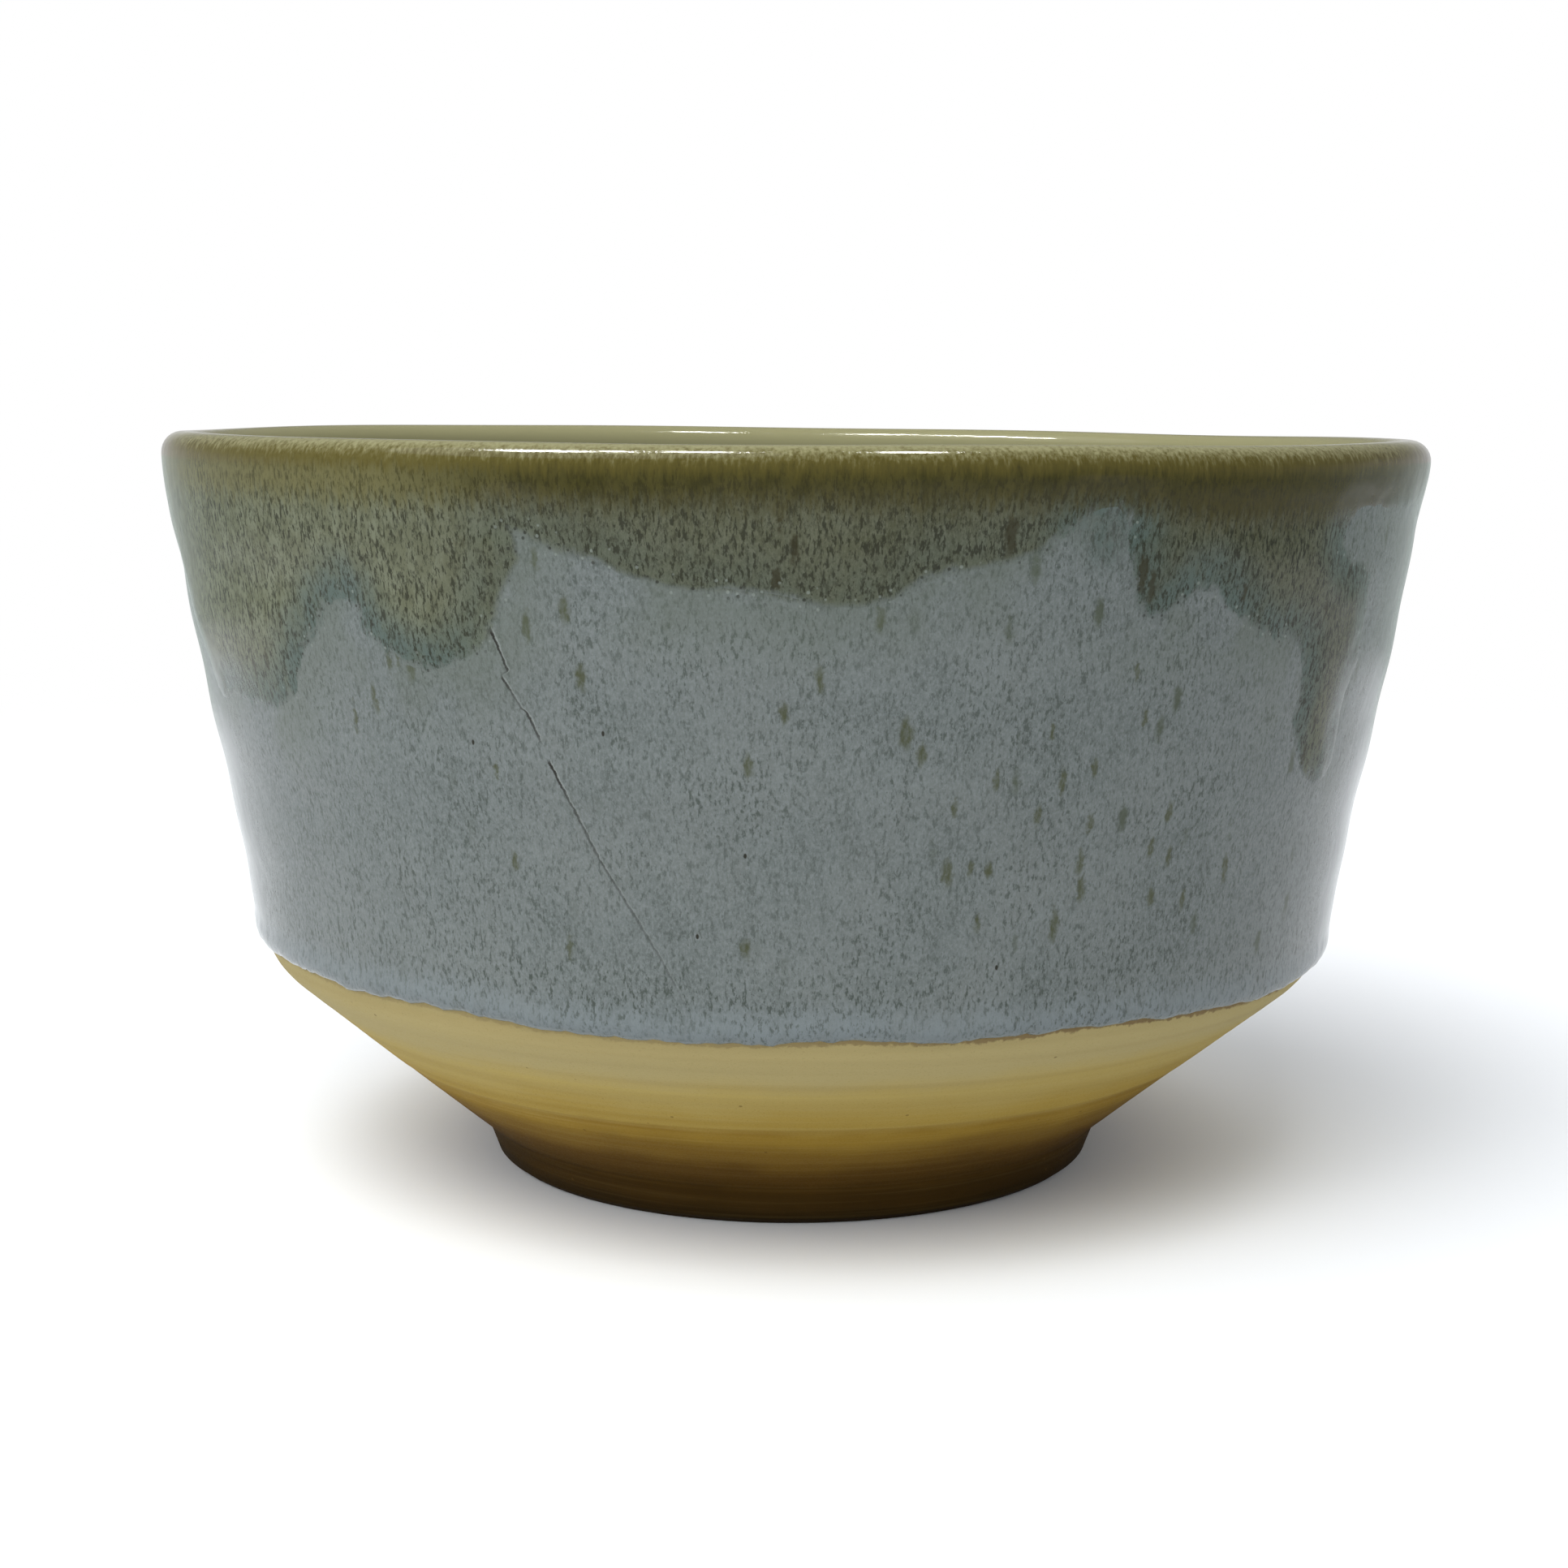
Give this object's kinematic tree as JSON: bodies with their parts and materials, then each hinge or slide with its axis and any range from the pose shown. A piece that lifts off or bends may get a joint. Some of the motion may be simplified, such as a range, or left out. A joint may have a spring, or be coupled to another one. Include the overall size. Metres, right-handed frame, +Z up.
{
  "type": "matcha bowl",
  "caption": "Round stoneware tea bowl with a thick rounded lip, a trimmed foot ring, a pale glaze coat and an olive coat dipped over the rim.",
  "frame": {"origin": "centre of the foot ring, on the surface that the bowl rests on", "axes": "+Z up along the bowl's axis, towards the lip; -Y towards the side with the longest glaze runs beside it, which is the front"},
  "size_m": [0.12, 0.12, 0.0702],
  "materials": {
    "stoneware": "bare trimmed stoneware, matte",
    "blue_grey_glaze": "glossy blue-grey glaze with fine dark mottling",
    "liner_glaze": "glossy blue-grey glaze, pooled in the middle",
    "olive_glaze": "glossy olive-brown glaze with fine runs, pale on the lip"
  },
  "bodies": {
    "root": {"stoneware_body": "stoneware", "outer_glaze": "blue_grey_glaze", "inner_glaze": "liner_glaze", "rim_glaze": "olive_glaze"}
  },
  "joints": []
}
